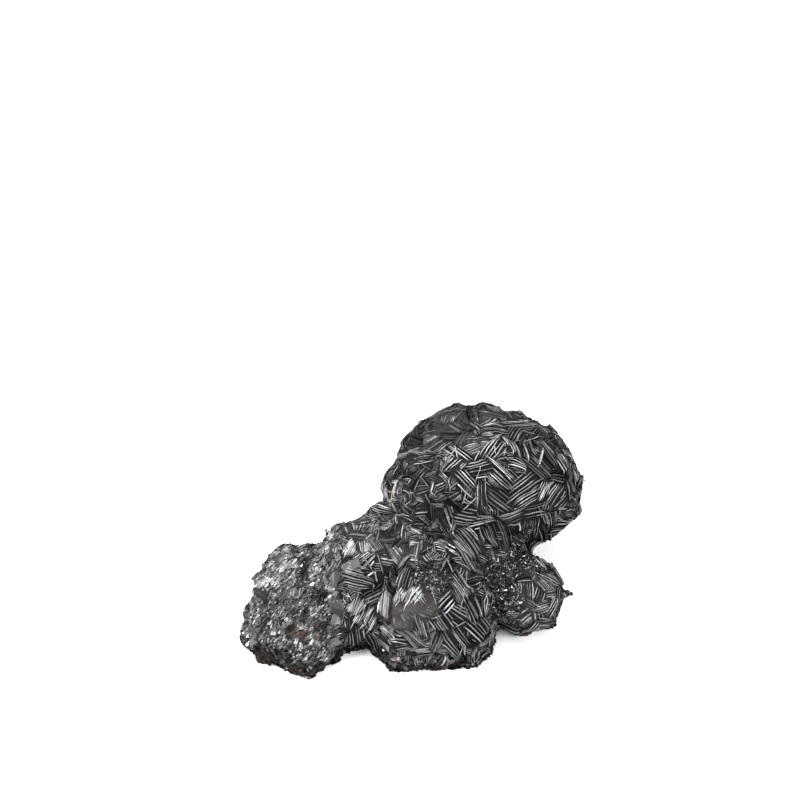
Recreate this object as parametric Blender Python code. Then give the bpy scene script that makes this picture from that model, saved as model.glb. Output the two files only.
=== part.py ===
"""Botryoidal manganese oxide specimen: one grown mass of rounded lobes.

Bundles of parallel crystal laths, standing on edge, cover the lobes like a basket weave. One lobe
is broken to a granular cleavage surface, and the mass is parted flat from its rock at z = 0.
Run with: blender --background --python part.py
"""

import math
import random

import bmesh
import bpy
from mathutils import Matrix, Vector, noise
from mathutils.bvhtree import BVHTree

MM = 0.001
NAME = "manganese_oxide_specimen"
SEED = 31

# Rounded lobes: centre x, y, z, then the three radii, in millimetres.
LOBES = {
    "crown": ((20.7, 13.2, 20.2), (24.2, 20.4, 16.9)),
    "crown_brow": ((17.0, 18.4, 19.2), (20.4, 17.6, 17.2)),
    "crown_shoulder": ((6.2, 7.4, 19.8), (13.4, 13.6, 14.6)),
    "front_dome": ((6.8, -21.5, 12.4), (14.6, 13.2, 13.8)),
    "front_crest": ((5.2, -12.0, 14.6), (11.6, 10.8, 12.0)),
    "saddle": ((-12.6, -9.8, 12.4), (11.8, 13.2, 13.0)),
    "saddle_foot": ((-13.6, -19.0, 7.6), (8.4, 8.6, 9.4)),
    "saddle_back": ((-4.0, -2.6, 14.8), (12.2, 10.4, 10.4)),
    "right": ((28.6, -15.5, 9.0), (10.4, 10.0, 9.2)),
    "right_foot": ((32.0, -16.8, 6.0), (7.6, 6.4, 6.0)),
    "neck": ((18.0, -5.0, 10.6), (13.8, 12.8, 11.0)),
}

# The broken lobe: corners of its cleaved block, in millimetres.
BROKEN_CORNERS = [
    (-37.2, -6.2, 15.2), (-33.0, -4.8, 19.6), (-22.0, -5.4, 20.0), (-13.0, -11.0, 17.0),
    (-40.2, -16.0, 13.0), (-42.8, -25.4, 6.5), (-43.2, -26.2, 3.4), (-39.4, -27.6, 8.6),
    (-31.0, -19.0, 17.4), (-29.8, -31.4, 9.2), (-23.0, -31.4, 9.2), (-16.0, -26.6, 10.5),
    (-38.6, -28.6, 0.0), (-27.2, -34.8, 0.0), (-17.0, -27.8, 0.0), (-35.0, -8.5, 0.0), (-12.0, -8.0, 0.0),
]

# The parting surface on the rock: plan outline in millimetres, anticlockwise.
ROOT_OUTLINE = [
    (-39.6, -25.4), (-34.6, -29.8), (-30.4, -32.0), (-26.8, -34.4), (-22.0, -32.6), (-17.5, -28.4),
    (-12.0, -25.5), (-8.5, -25.5), (-6.5, -30.5), (-2.0, -32.8), (8.0, -32.8), (17.5, -31.8),
    (20.5, -26.0), (22.5, -18.5), (28.5, -18.4), (35.5, -18.0), (37.5, -13.0), (32.5, -6.0),
    (30.0, 4.0), (30.0, 14.0), (25.0, 24.0), (12.0, 28.0), (-3.0, 20.0), (-10.0, 8.0),
    (-20.0, -2.0), (-33.0, -5.0), (-39.0, -16.0),
]
ROOT_HEIGHT = 9.0 * MM
BELOW = 4.0 * MM

VOXEL = 1.3 * MM
CREASE_SMOOTHING = 3
# Lumps and knobs of the grown surface: size and height in millimetres.
LUMP_SIZE, LUMP_RISE = 13.0, 1.5
KNOB_SIZE, KNOB_RISE = 5.0, 0.5
KNOB_OFFSET = (9, 4, 2)
MASS_TRIANGLES = 900

# A bundle of laths: parallel ridges with a saw-tooth section, sunk into the lobe.
BUNDLE_SPACING = 7.5 * MM
BUNDLE_LENGTH = (7.2 * MM, 9.8 * MM)
RIDGES = 3
RIDGE_PITCH = 2.3 * MM
RIDGE_TOP = 1.0 * MM
VALLEY = 0.15 * MM
SUNK = 2.0 * MM
SETTLED = 0.3
WEAVE_STEP = math.radians(30)

# A cleavage block of the broken lobe and of the broken root.
BROKEN_EDGE_X = -17.5 * MM
BLOCK_SPACING = 4.8 * MM
BLOCK_SIZE = (2.8 * MM, 4.4 * MM)
BLOCK_TILT = math.radians(20)
ROOT_BLOCK_TOP = 6.5 * MM

# The pointed crystal that stands out of the right lobe, in millimetres.
TOOTH_ROOT = (33.0, -16.5, 9.5)
TOOTH_TIP = (42.2, -16.2, 11.0)
TOOTH_RADIUS = 3.6 * MM

# The finish: dark grey, half-metallic oxide.
OXIDE_COLOUR = (0.045, 0.045, 0.048, 1.0)
OXIDE_METALLIC = 0.8
OXIDE_ROUGHNESS = 0.42


def clear_scene():
    """Remove the objects of the startup scene."""
    for obj in list(bpy.data.objects):
        bpy.data.objects.remove(obj, do_unlink=True)


def oxide_material():
    """The dark grey metallic finish of the crystals."""
    material = bpy.data.materials.new("manganese_oxide")
    material.use_nodes = True
    shader = material.node_tree.nodes["Principled BSDF"]
    shader.inputs["Base Color"].default_value = OXIDE_COLOUR
    shader.inputs["Metallic"].default_value = OXIDE_METALLIC
    shader.inputs["Roughness"].default_value = OXIDE_ROUGHNESS
    return material


def new_object(name, bm):
    """Turn bm into a linked object."""
    mesh = bpy.data.meshes.new(name)
    bm.to_mesh(mesh)
    bm.free()
    obj = bpy.data.objects.new(name, mesh)
    bpy.context.scene.collection.objects.link(obj)
    return obj


def evaluated_mesh(obj):
    """A new mesh of obj with its modifiers applied."""
    graph = bpy.context.evaluated_depsgraph_get()
    return bpy.data.meshes.new_from_object(obj.evaluated_get(graph))


def add_lobe(bm, centre, radii):
    """Add one ellipsoid lobe to bm."""
    place = Matrix.Translation(Vector(centre) * MM) @ Matrix.Diagonal((*(r * MM for r in radii), 1.0))
    bmesh.ops.create_icosphere(bm, subdivisions=4, radius=1.0, matrix=place)


def add_broken_block(bm):
    """Add the convex block of the broken lobe to bm."""
    corners = [bm.verts.new(Vector(corner) * MM) for corner in BROKEN_CORNERS]
    made = bmesh.ops.convex_hull(bm, input=corners)
    unused = {v for v in made["geom_interior"] + made["geom_unused"] if isinstance(v, bmesh.types.BMVert)}
    bmesh.ops.delete(bm, geom=list(unused), context="VERTS")


def add_root(bm):
    """Add the broken root block under the lobes."""
    corners = [bm.verts.new((x * MM, y * MM, -BELOW)) for x, y in ROOT_OUTLINE]
    risen = bmesh.ops.extrude_face_region(bm, geom=[bm.faces.new(corners)])["geom"]
    top = [v for v in risen if isinstance(v, bmesh.types.BMVert)]
    bmesh.ops.translate(bm, verts=top, vec=(0, 0, ROOT_HEIGHT + BELOW))


def lumpiness(point):
    """How far the grown surface stands off its smooth lobes at a point, in metres."""
    place = point / MM
    lump = noise.noise(place / LUMP_SIZE) * LUMP_RISE
    knob = noise.noise(place / KNOB_SIZE + Vector(KNOB_OFFSET)) * KNOB_RISE
    return (lump + knob) * MM


def grown_mass():
    """The lobes, broken block and root grown together as one closed mesh object."""
    bm = bmesh.new()
    for centre, radii in LOBES.values():
        add_lobe(bm, centre, radii)
    add_broken_block(bm)
    add_root(bm)
    bmesh.ops.recalc_face_normals(bm, faces=bm.faces)
    obj = new_object(NAME, bm)
    remesh = obj.modifiers.new("grown_together", "REMESH")
    remesh.mode = "VOXEL"
    remesh.voxel_size = VOXEL
    soften = obj.modifiers.new("soft_creases", "SMOOTH")
    soften.iterations = CREASE_SMOOTHING
    shape = evaluated_mesh(obj)
    lifts = [vertex.normal * lumpiness(vertex.co) for vertex in shape.vertices]
    for vertex, lift in zip(shape.vertices, lifts):
        vertex.co += lift
    obj.modifiers.clear()
    obj.data = shape
    facets = obj.modifiers.new("facets", "DECIMATE")
    facets.ratio = MASS_TRIANGLES / (2 * len(shape.polygons))
    obj.data = evaluated_mesh(obj)
    obj.modifiers.clear()
    return obj


def scattered(mesh, spacing, wanted, rng):
    """Points at least spacing apart on mesh, where wanted(point, normal) is true, as (point, normal)."""
    mesh.calc_loop_triangles()
    triangles = mesh.loop_triangles
    picks = rng.choices(triangles, weights=[t.area for t in triangles], k=12000)
    found = []
    for triangle in picks:
        a, b, c = (mesh.vertices[i].co for i in triangle.vertices)
        s, t = sorted((rng.random(), rng.random()))
        point = a * s + b * (t - s) + c * (1 - t)
        if wanted(point, triangle.normal) and all((point - p).length > spacing for p, _ in found):
            found.append((point, triangle.normal.copy()))
    return found


def is_blocky(point, normal):
    """True on the broken lobe and on the broken sides of the root."""
    broken_lobe = point.x < BROKEN_EDGE_X
    return broken_lobe or (point.z < ROOT_BLOCK_TOP and normal.z < 0.3)


def on_lobes(point, normal):
    """True where bundles of laths grow."""
    return point.z > 3 * MM and normal.z > -0.4 and not is_blocky(point, normal)


def on_breaks(point, normal):
    """True where cleavage blocks stand."""
    return point.z > 1.5 * MM and normal.z > -0.75 and is_blocky(point, normal)


def frame_at(point, normal, turn):
    """A matrix whose Z is the surface normal and whose X is turned about it."""
    basis = normal.to_track_quat("Z", "Y").to_matrix().to_4x4()
    return Matrix.Translation(point) @ basis @ Matrix.Rotation(turn, 4, "Z")


def woven_turns(places, rng):
    """A turn for each bundle that crosses its nearest neighbours', as in a basket weave."""
    axes = []
    for i, (point, normal) in enumerate(places):
        near = sorted(range(i), key=lambda k: (places[k][0] - point).length)[:3]
        options = []
        for step in range(6):
            turn = step * WEAVE_STEP + rng.uniform(-0.2, 0.2)
            axis = frame_at(point, normal, turn).to_3x3() @ Vector((1, 0, 0))
            options.append((max([abs(axis.dot(axes[k][1])) for k in near], default=0), turn, axis))
        _, turn, axis = min(options, key=lambda option: option[0])
        axes.append((turn, axis))
    return [turn for turn, _ in axes]


def settled(place, length, width, surface):
    """place lowered by a share of how far the bundle's flat corners stand off the curved lobe."""
    corners = [Vector((x * length / 2, y * width / 2, 0)) for x in (-1, 1) for y in (-1, 1)]
    gaps = []
    for corner in corners:
        point = place @ corner
        nearest, normal, _, _ = surface.find_nearest(point)
        gaps.append(max((point - nearest).dot(normal), 0))
    return place @ Matrix.Translation((0, 0, -SETTLED * sum(gaps) / len(gaps)))


def add_bundle(bm, place, length, surface):
    """Add one bundle of laths to bm: a saw-tooth profile extruded along the laths."""
    width = RIDGES * RIDGE_PITCH
    place = settled(place, length, width, surface)
    profile = [(-width / 2, -SUNK), (-width / 2, VALLEY)]
    for ridge in range(RIDGES):
        left = -width / 2 + ridge * RIDGE_PITCH
        profile += [(left + RIDGE_PITCH / 2, RIDGE_TOP), (left + RIDGE_PITCH, VALLEY)]
    profile.append((width / 2, -SUNK))
    end = bm.faces.new([bm.verts.new((-length / 2, y, z)) for y, z in reversed(profile)])
    start = list(end.verts)
    grown = bmesh.ops.extrude_face_region(bm, geom=[end])["geom"]
    far = [v for v in grown if isinstance(v, bmesh.types.BMVert)]
    bmesh.ops.translate(bm, verts=far, vec=(length, 0, 0))
    bmesh.ops.transform(bm, matrix=place, verts=start + far)


def add_block(bm, place, size, rng):
    """Add one tilted cleavage block to bm."""
    lean_x, lean_y = (rng.uniform(-BLOCK_TILT, BLOCK_TILT) for _ in range(2))
    tilt = Matrix.Rotation(lean_x, 4, "X") @ Matrix.Rotation(lean_y, 4, "Y")
    shape = Matrix.Diagonal((size, size * rng.uniform(0.6, 1.0), size * 0.6, 1.0))
    bmesh.ops.create_cube(bm, size=1.0, matrix=place @ tilt @ shape)


def add_tooth(bm):
    """Add the pointed crystal on the side of the right lobe to bm."""
    root, tip = Vector(TOOTH_ROOT) * MM, Vector(TOOTH_TIP) * MM
    turn = (tip - root).to_track_quat("Z", "Y").to_matrix().to_4x4()
    place = Matrix.Translation((root + tip) / 2) @ turn
    bmesh.ops.create_cone(bm, cap_ends=True, segments=4, radius1=TOOTH_RADIUS, radius2=TOOTH_RADIUS / 4,
                          depth=(tip - root).length, matrix=place)


def crystals(mass):
    """All bundles and blocks on the mass, as one object of closed overlapping pieces."""
    rng = random.Random(SEED)
    surface = BVHTree.FromObject(mass, bpy.context.evaluated_depsgraph_get())
    bm = bmesh.new()
    places = scattered(mass.data, BUNDLE_SPACING, on_lobes, rng)
    for (point, normal), turn in zip(places, woven_turns(places, rng)):
        add_bundle(bm, frame_at(point, normal, turn), rng.uniform(*BUNDLE_LENGTH), surface)
    blocks = scattered(mass.data, BLOCK_SPACING, on_breaks, rng)
    for point, normal in blocks:
        add_block(bm, frame_at(point, normal, rng.uniform(0, math.pi)), rng.uniform(*BLOCK_SIZE), rng)
    add_tooth(bm)
    bmesh.ops.recalc_face_normals(bm, faces=bm.faces)
    return new_object("crystals", bm)


def floor_cutter():
    """A block whose top is the parting plane."""
    bm = bmesh.new()
    size = Matrix.Diagonal((200 * MM, 200 * MM, 40 * MM, 1.0))
    bmesh.ops.create_cube(bm, size=1.0, matrix=Matrix.Translation((0, 0, -20 * MM)) @ size)
    return new_object("parting_cutter", bm)


def as_helper(obj):
    """Keep obj out of the model."""
    obj.hide_render = True
    obj.display_type = "WIRE"
    return obj


def boolean(obj, name, operation, other):
    """Add an exact Boolean to obj."""
    step = obj.modifiers.new(name, "BOOLEAN")
    step.operation = operation
    step.object = as_helper(other)
    step.solver = "EXACT"
    return step


def stand_at_origin(obj):
    """Move obj's mesh so that the origin is the middle of its resting face's box."""
    shape = evaluated_mesh(obj)
    obj.modifiers.clear()
    xs, ys, zs = zip(*(vertex.co for vertex in shape.vertices))
    middle = Vector(((min(xs) + max(xs)) / 2, (min(ys) + max(ys)) / 2, min(zs)))
    shape.transform(Matrix.Translation(-middle))
    obj.data = shape


def main():
    """Build the specimen as one closed body."""
    clear_scene()
    mass = grown_mass()
    union = boolean(mass, "crystals", "UNION", crystals(mass))
    union.use_self = True
    boolean(mass, "parting", "DIFFERENCE", floor_cutter())
    stand_at_origin(mass)
    mass.data.materials.clear()
    mass.data.materials.append(oxide_material())


main()
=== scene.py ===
"""Looks of the manganese oxide specimen: lath bundles, cleavage grains, worn patches and the studio.

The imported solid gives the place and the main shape. Its smoothed skin is the ground on which the
crystals stand: woven bundles of laths on the lobes, blocky grains on the broken lobe, and a dull
broken root where the specimen parted from its rock.
"""

import logging
import math
from dataclasses import dataclass
from enum import Enum
from typing import Any, Callable, Iterable, Sequence

import bmesh
import bpy
import numpy as np
from mathutils import Matrix, Vector, noise
from mathutils.bvhtree import BVHTree
from mathutils.kdtree import KDTree


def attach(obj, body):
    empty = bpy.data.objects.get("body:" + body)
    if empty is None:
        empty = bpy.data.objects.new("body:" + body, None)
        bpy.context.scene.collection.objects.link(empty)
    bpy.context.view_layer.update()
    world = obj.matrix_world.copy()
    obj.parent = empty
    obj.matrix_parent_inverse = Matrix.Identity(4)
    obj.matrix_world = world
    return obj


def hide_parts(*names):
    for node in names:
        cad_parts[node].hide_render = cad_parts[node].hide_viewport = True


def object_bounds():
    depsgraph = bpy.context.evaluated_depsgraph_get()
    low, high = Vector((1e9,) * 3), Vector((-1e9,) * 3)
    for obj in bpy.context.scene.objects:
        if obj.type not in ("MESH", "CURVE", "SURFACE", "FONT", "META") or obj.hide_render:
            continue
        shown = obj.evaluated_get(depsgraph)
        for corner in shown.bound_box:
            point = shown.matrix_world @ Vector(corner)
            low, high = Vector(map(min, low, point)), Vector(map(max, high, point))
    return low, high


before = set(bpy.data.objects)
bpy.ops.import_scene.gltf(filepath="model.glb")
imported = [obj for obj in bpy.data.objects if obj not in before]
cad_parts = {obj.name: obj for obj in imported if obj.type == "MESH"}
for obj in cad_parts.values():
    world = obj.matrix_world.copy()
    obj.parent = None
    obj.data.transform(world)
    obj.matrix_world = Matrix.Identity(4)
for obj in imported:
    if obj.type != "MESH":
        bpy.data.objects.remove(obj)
CAD_BOX = [list(corner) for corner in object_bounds()]

LOG = logging.getLogger("specimen")
NODE = "manganese_oxide_specimen"
BODY = "root"
MM = 0.001
FRAME_PIXELS = 794
HALF_LENGTHS = (0.8 * MM, 7 * MM)  # the least and the most, of a bundle or a flat face
FLOOR_GAP = 0.5 * MM  # no bundle stands lower than this
FOOT_DEPTH = 0.35 * MM  # how deep a lath stands in the ground
LOW_EDGE = 0.35  # the painted light of a lath's lower top edge; the upper one, facing the lamps above, gets a full painted highlight
MARK_GLEAM = 0.6  # how much shade a gleam of 1 adds

Array = np.ndarray
Pixel = tuple[float, float]
Span = tuple[float, float]
Colour = tuple[float, float, float, float]
Faces = list[tuple[int, ...]]
Copy = tuple[Array, Array, float]


class Ground(Enum):
    """What grows on a stretch of the surface."""

    WEAVE = 0
    FINE = 1
    WORN = 2
    SILKY = 3
    SMOOTH = 4
    GRAINY = 5
    BROKEN = 6
    ROOT = 7
    FELT = 8
    NEEDLES = 9


@dataclass(frozen=True)
class Stroke:
    """A bundle of laths or a flat face seen in the frame: the line along its middle, in frame pixels.

    glow is how bright it is, from -1 to 1, beside a bundle's neighbours, and wide is its width in mm.
    On the listed bundles and faces glow is partly their own tone and partly painted light: painted
    highlights on some, painted shade on others.
    """

    start: Pixel
    end: Pixel
    glow: float
    wide: float


@dataclass(frozen=True)
class Patch:
    """A stretch of other ground seen in the frame: its middle in frame pixels, its radius in mm."""

    at: Pixel
    radius: float
    ground: Ground


@dataclass(frozen=True)
class Mark:
    """A streak or spot seen in the frame, from start to end in frame pixels, radius in mm.

    gleam is how much brighter it is than what is around it, from -1 to 1, put into the crystals' colour;
    on the marks so noted it is painted glints, painted light and painted shade. colour is its stain, and
    strength how much of that covers the crystals.
    """

    start: Pixel
    end: Pixel
    radius: float
    gleam: float
    colour: Colour | None = None
    strength: float = 0.8


RUST = (0.044, 0.021, 0.015, 1.0)
BROWN = (0.020, 0.015, 0.012, 1.0)
CREAM = (0.32, 0.30, 0.25, 1.0)
ORANGE = (0.12, 0.052, 0.026, 1.0)
PURPLE_GREY = (0.017, 0.0146, 0.016, 1.0)

MARKS = (
    # The first seven marks paint glints: bright streaks where the cleavage faces of the broken lobe catch the
    # light, and the highlight along its top edge.
    Mark((258, 587), (270, 582), 1.1, 0.7),
    Mark((270, 565), (281, 570), 0.5, 0.8),
    Mark((318, 657), (328, 659), 1.0, 0.8),
    Mark((305, 583), (311, 583), 0.5, 0.8),
    Mark((299, 542), (311, 548), 0.6, 0.7),
    Mark((330, 588), (336, 592), 0.6, 0.8),
    Mark((286, 620), (289, 623), 0.4, 0.8),
    # The next four marks paint shade: the dark hollows and the shadow under the overhanging edges of the
    # broken lobe.
    Mark((259, 568), (276, 575), 1.4, -0.15),
    Mark((312, 547), (320, 557), 1.2, -0.15),
    Mark((312, 588), (322, 596), 1.2, -0.10),
    Mark((339, 590), (348, 583), 1.6, -0.15),
    Mark((258, 592), (262, 600), 2.0, -0.05, PURPLE_GREY, 0.6),
    Mark((290, 632), (298, 635), 1.5, -0.20, BROWN, 0.6),
    Mark((300, 632), (305, 633), 0.8, -0.10, RUST),
    Mark((395, 484), (392, 500), 0.75, 0.2, CREAM, 0.95),
    Mark((395, 658), (398, 660), 0.5, 0.0, ORANGE),
    # This mark and the one after the next paint the shade in the groove between the saddle and the front
    # lobe.
    Mark((381, 576), (381, 604), 0.9, -0.18),
    Mark((448, 532), (488, 546), 4.0, 0.14),
    Mark((381, 606), (378, 630), 0.9, -0.18),
    Mark((364, 563), (376, 557), 1.8, 0.40),
    Mark((429, 574), (437, 579), 0.5, 0.45),
    # Painted shade in the deepest part of the pit between the front and right lobes.
    Mark((484, 585), (494, 612), 2.2, -0.10),
    Mark((505, 566), (510, 572), 0.4, 0.35),
    # The last two marks paint light on the right lobe's needles, which the lamps light less than their
    # neighbours.
    Mark((525, 592), (550, 586), 2.6, 0.18),
    Mark((514, 617), (552, 606), 1.4, 0.28),
)

BUNDLE_ROWS = {
    "crown": (
        (488, 457, 500, 439, 0.5, 4.5), (487, 464, 516, 489, 0.1, 5.5), (448, 469, 461, 457, 0.2, 3.5),
        (460, 475, 476, 492, 0.2, 4.0), (481, 481, 481, 505, 0.1, 2.5), (505, 433, 516, 452, 0.3, 3.5),
        (524, 437, 532, 454, 0.4, 3.0), (536, 441, 555, 466, 0.0, 4.0), (530, 460, 550, 480, 0.0, 3.5),
        (550, 476, 569, 479, -0.1, 3.0), (510, 500, 537, 480, 0.8, 6.0), (543, 496, 549, 482, 0.7, 3.0),
        (550, 503, 562, 484, 0.5, 5.5), (558, 455, 567, 470, 0.5, 3.0), (512, 462, 528, 472, 0.2, 3.5),
        (492, 492, 512, 508, 0.0, 4.0), (452, 447, 466, 457, 0.1, 3.0), (470, 424, 482, 432, 0.2, 2.5),
        (486, 426, 500, 419, 0.2, 2.5), (452, 424, 470, 434, 0.0, 3.0), (478, 412, 510, 418, 0.1, 4.0),
        (500, 520, 520, 514, 0.0, 3.0), (525, 512, 545, 508, 0.1, 2.5), (556, 508, 568, 495, 0.4, 3.0),
    ),
    "neck": (
        (446, 516, 474, 521, 0.36, 3.0), (474, 524, 494, 519, 0.36, 3.0), (463, 536, 478, 560, 0.30, 5.0),
        (481, 572, 497, 540, 0.32, 5.0), (446, 503, 452, 522, 0.55, 2.5), (421, 476, 441, 472, 0.75, 0.9),
        (425, 494, 431, 505, 0.95, 0.9), (440, 473, 449, 484, 0.90, 1.0), (428, 493, 441, 501, 0.65, 0.9),
        (391, 501, 399, 518, 0.50, 1.0), (395, 482, 392, 499, 0.60, 2.2),
    ),
    "front": (
        (438, 608, 448, 597, 0.95, 5.0), (438, 612, 449, 627, 0.36, 4.0), (447, 634, 466, 657, 0.28, 6.0),
        (470, 600, 480, 622, 0.36, 4.0), (472, 624, 486, 641, 0.40, 4.5), (472, 658, 480, 646, 0.36, 4.0),
        (464, 668, 484, 658, 0.95, 3.0), (380, 629, 393, 643, 0.45, 4.0), (394, 640, 408, 641, 0.25, 3.0),
        (456, 552, 470, 572, 0.20, 4.0), (452, 575, 468, 598, 0.28, 4.5), (396, 603, 405, 586, 1.05, 3.0),
        # The last bundle on the next line and the first two on the one after paint the highlight along the
        # front lobe's ridge.
        (405, 603, 414, 587, 0.95, 3.0), (413, 602, 422, 590, 0.65, 3.0), (437, 545, 448, 549, 1.05, 1.6),
        (449, 549, 458, 554, 1.05, 1.6), (458, 555, 467, 562, 0.95, 1.6), (384, 613, 386, 592, 0.55, 3.0),
        (416, 655, 440, 650, 0.15, 4.0), (398, 655, 414, 660, 0.15, 3.0), (452, 611, 462, 618, 0.45, 3.5),
        (416, 620, 424, 640, 0.05, 2.6),
    ),
    "saddle": (
        (361, 565, 374, 554, 0.95, 4.0), (363, 575, 377, 565, 0.85, 2.5), (371, 540, 383, 555, 0.55, 4.0),
        (376, 556, 381, 576, 0.35, 3.0), (343, 577, 368, 582, 0.40, 5.0), (405, 527, 423, 537, 0.75, 3.5),
        (375, 521, 398, 530, 0.36, 4.0), (368, 512, 390, 515, 0.15, 3.5), (353, 616, 357, 599, 0.55, 4.0),
        (358, 633, 370, 612, 0.45, 5.0), (365, 597, 378, 590, 0.25, 3.5), (388, 545, 402, 560, 0.15, 4.5),
        (344, 553, 354, 540, 0.55, 3.0),
    ),
    "right": (
        (527, 602, 527, 582, 0.45, 5.0), (537, 577, 548, 590, 0.95, 3.0), (545, 574, 562, 588, 0.45, 3.5),
        (510, 606, 521, 592, 0.35, 3.0), (528, 611, 553, 603, 0.65, 3.0), (508, 622, 537, 614, 0.75, 3.0),
        (542, 620, 561, 615, 0.55, 3.0), (527, 630, 541, 621, 0.6, 2.5),
    ),
}
BUNDLES = [
    Stroke((x0, y0), (x1, y1), glow, wide)
    for rows in BUNDLE_ROWS.values()
    for x0, y0, x1, y1, glow, wide in rows
]

PATCH_ROWS = (
    (Ground.FELT, ((385, 531, 8.0), (358, 533, 5.0), (408, 546, 5.0))),
    (Ground.NEEDLES, ((545, 597, 8.5), (520, 612, 6.0))),
    (Ground.SMOOTH, ((401, 617, 3.3), (412, 611, 2.6), (425, 607, 2.9))),
    (Ground.SILKY, ((421, 630, 2.8),)),
    (Ground.FELT, ((437, 650, 2.6),)),
    (Ground.SILKY, (
        (402, 594, 2.8), (414, 593, 2.6), (350, 548, 2.4), (355, 608, 2.0), (364, 622, 2.2), (385, 602, 1.6),
    )),
    (Ground.WORN, (
        (428, 436, 7.0), (452, 438, 5.0), (452, 415, 5.5), (480, 414, 4.5), (506, 413, 4.0), (545, 433, 4.2),
        (560, 446, 3.0),
    )),
    (Ground.FINE, (
        (412, 454, 6.0), (404, 480, 8.0), (428, 480, 5.5), (422, 503, 9.0), (440, 522, 4.5), (410, 522, 5.0),
    )),
    (Ground.GRAINY, (
        (428, 574, 3.6), (438, 580, 3.6), (418, 572, 2.4), (497, 575, 5.5), (503, 598, 5.5), (522, 562, 5.0),
        (540, 550, 4.0),
    )),
    (Ground.ROOT, (
        (264, 653, 3.6), (282, 660, 3.0), (301, 668, 2.2), (388, 655, 3.2), (402, 664, 2.6), (445, 664, 2.2),
    )),
    (Ground.GRAINY, ((573, 504, 2.6),)),
    (Ground.WORN, ((475, 446, 2.4),)),
)
PATCHES = [Patch((x, y), radius, ground) for ground, spots in PATCH_ROWS for x, y, radius in spots]

# Each face's glow is its shade, partly its own tone and partly painted light: painted reflection and painted
# shade, face by face.
PLATES = (
    Stroke((272, 563), (284, 554), 0.15, 3.2),
    Stroke((337, 572), (359, 562), 0.06, 2.1),
    Stroke((334, 573), (335, 586), 0.08, 2.4),
    Stroke((333, 610), (347, 606), 0.08, 3.0),
    Stroke((335, 629), (339, 613), 0.28, 2.6),
    Stroke((255, 592), (267, 600), 0.02, 3.0),
    Stroke((330, 562), (334, 551), 0.11, 2.4),
    Stroke((249, 634), (258, 625), 0.10, 2.4),
    Stroke((291, 556), (298, 549), 0.20, 2.0),
    Stroke((311, 570), (315, 566), 0.20, 1.4),
    Stroke((330, 645), (340, 639), 0.16, 2.2),
)


@dataclass(frozen=True)
class LathStyle:
    """How laths grow on one kind of ground, in millimetres.

    spacing is between bundles, stretch their length for their width, pitch and width those of their
    laths, and rise how proud they stand. missing is the share that is missing. shade runs from 0,
    black, to 1, bright. lean and flare are how unevenly they tilt and fan out.
    """

    spacing: float
    stretch: float
    pitch: float
    width: float
    rise: Span
    missing: float
    shade: Span
    lean: float
    flare: float


STYLES = {
    Ground.WEAVE: LathStyle(4.8, 1.75, 0.72, 0.31, (0.35, 0.65), 0.07, (0.07, 0.55), 0.30, 0.14),
    Ground.FINE: LathStyle(1.9, 1.60, 0.42, 0.24, (0.08, 0.32), 0.18, (0.04, 0.30), 0.60, 0.30),
    Ground.WORN: LathStyle(4.0, 2.20, 0.40, 0.28, (0.08, 0.20), 0.15, (0.06, 0.22), 0.15, 0.25),
    Ground.SILKY: LathStyle(3.4, 2.00, 0.30, 0.20, (0.12, 0.30), 0.05, (0.10, 0.95), 0.15, 0.20),
    Ground.FELT: LathStyle(2.7, 1.90, 0.46, 0.40, (0.12, 0.42), 0.12, (0.08, 0.44), 0.35, 0.30),
    Ground.NEEDLES: LathStyle(2.8, 1.80, 0.60, 0.20, (0.12, 0.38), 0.20, (0.03, 0.62), 0.35, 0.30),
    Ground.SMOOTH: LathStyle(2.4, 1.80, 0.36, 0.20, (0.06, 0.16), 0.50, (0.14, 0.34), 0.20, 0.40),
}


class Value:
    """A shader socket carrying a number, on which Python's operators add Math nodes."""

    def __init__(self, tree: "Shader", socket: Any) -> None:
        """Wrap a socket of a tree."""
        self.tree = tree
        self.socket = socket

    def _math(self, operation: str, *terms: Any) -> "Value":
        """Add a Math node.

        Args:
            operation: the node's operation.
            terms: its inputs, numbers or values.

        Returns:
            The node's output.
        """
        return self.tree.node("ShaderNodeMath", {"operation": operation}, dict(enumerate(terms)))

    def __add__(self, other: Any) -> "Value":
        """self + other."""
        return self._math("ADD", self, other)

    __radd__ = __add__

    def __mul__(self, other: Any) -> "Value":
        """self * other."""
        return self._math("MULTIPLY", self, other)

    __rmul__ = __mul__

    def __sub__(self, other: Any) -> "Value":
        """self - other."""
        return self._math("SUBTRACT", self, other)

    def __rsub__(self, other: Any) -> "Value":
        """other - self."""
        return self._math("SUBTRACT", other, self)

    def clamped(self, low: float = 0.0, high: float = 1.0) -> "Value":
        """The value kept between low and high."""
        return self._math("MINIMUM", self._math("MAXIMUM", self, low), high)

    def ramp(self, low: float, high: float) -> "Value":
        """The value as 0 at low, 1 at high, smooth between."""
        inputs = {"Value": self, "From Min": low, "From Max": high}
        return self.tree.node("ShaderNodeMapRange", {"interpolation_type": "SMOOTHSTEP"}, inputs)


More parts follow.
